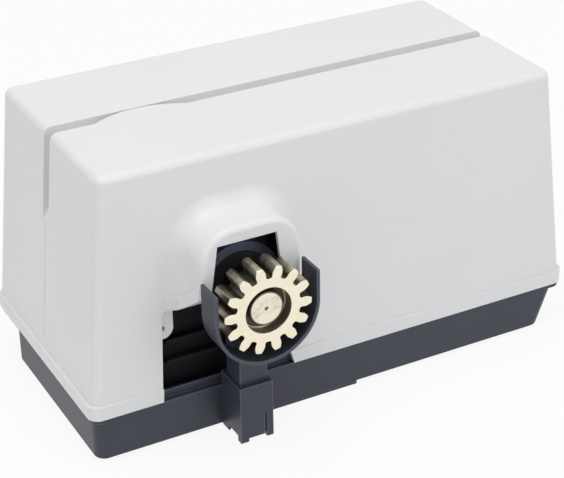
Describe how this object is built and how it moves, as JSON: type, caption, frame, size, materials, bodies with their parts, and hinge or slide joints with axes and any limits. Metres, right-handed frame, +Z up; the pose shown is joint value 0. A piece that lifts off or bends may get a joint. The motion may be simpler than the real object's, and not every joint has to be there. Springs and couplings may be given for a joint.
{
  "type": "sliding gate motor",
  "caption": "Sliding gate motor: worm gear motor on a dark base under a white tapered cover, with a rack pinion held in a U-shaped guard on the front.",
  "frame": {"origin": "middle of the four foundation bolt holes, on the plane that the base's feet stand on", "axes": "+X along the gate, from the pinion end to the other end; -Y towards the rack, out of the pinion's face; +Z up"},
  "size_m": [0.379, 0.2317, 0.205],
  "materials": {
    "base_plastic": "moulded, fine grain",
    "cover_plastic": "satin moulded",
    "zinc_steel": "zinc plated",
    "casting_paint": "painted casting",
    "seal_rubber": "matt",
    "bearing_steel": "ground",
    "motor_alloy": "die cast",
    "lamination_steel": "stacked sheet",
    "copper_winding": "enamelled copper wire",
    "tray_plastic": "moulded",
    "board_laminate": "solder mask",
    "relay_case": "moulded",
    "terminal_plastic": "moulded",
    "capacitor_can": "drawn can",
    "gland_plastic": "moulded",
    "pinion_steel": "zinc plated, yellow",
    "shaft_steel": "turned",
    "spring_steel": "blackened",
    "wheel_bronze": "cut bronze",
    "lever_plastic": "moulded"
  },
  "bodies": {
    "root": {"base": "base_plastic", "cover": "cover_plastic", "cover_screws": "zinc_steel", "pinion_guard": "base_plastic", "guard_socket": "base_plastic", "gearbox_housing": "casting_paint", "gearbox_lid": "casting_paint", "lid_gasket": "seal_rubber", "lid_screws": "zinc_steel", "gearbox_bolts": "zinc_steel", "front_bearing": "bearing_steel", "rear_bearing": "bearing_steel", "worm_end_bearing": "bearing_steel", "worm_drive_bearing": "bearing_steel", "motor_rear_bearing": "bearing_steel", "shaft_seal": "seal_rubber", "motor_housing": "motor_alloy", "motor_flange": "motor_alloy", "motor_end_bell": "motor_alloy", "stator_core": "lamination_steel", "stator_windings": "copper_winding", "motor_screws": "zinc_steel", "board_tray": "tray_plastic", "control_board": "board_laminate", "board_relays": "relay_case", "terminal_blocks": "terminal_plastic", "smoothing_capacitor": "capacitor_can", "fuse_holder": "relay_case", "radio_receiver": "board_laminate", "run_capacitor": "capacitor_can", "capacitor_clip": "zinc_steel", "transformer_core": "lamination_steel", "transformer_coil": "copper_winding", "limit_sensor": "relay_case", "cable_gland": "gland_plastic"},
    "output": {"pinion": "pinion_steel", "output_shaft": "shaft_steel", "pinion_key": "shaft_steel", "wheel_key": "shaft_steel", "pinion_retaining_ring": "spring_steel", "worm_wheel": "wheel_bronze"},
    "rotor": {"worm_shaft": "shaft_steel", "rotor_core": "lamination_steel"},
    "release": {"release_spindle": "shaft_steel", "release_lever": "lever_plastic"}
  },
  "joints": [
    {"name": "output_spin", "type": "hinge", "parent": "root", "child": "output", "pos_m": [-0.082, -0.014, 0.114], "axis": [0, 1, 0], "continuous": true},
    {"name": "rotor_spin", "type": "hinge", "parent": "root", "child": "rotor", "pos_m": [-0.082, -0.014, 0.0645], "axis": [1, 0, 0], "continuous": true},
    {"name": "release_turn", "type": "hinge", "parent": "root", "child": "release", "pos_m": [-0.058, -0.044, 0.168], "axis": [0, 0, 1], "range_deg": [-90, 0]}
  ],
  "couplings": [
    {"joint": "rotor_spin", "follows": "output_spin", "ratio": 30}
  ]
}
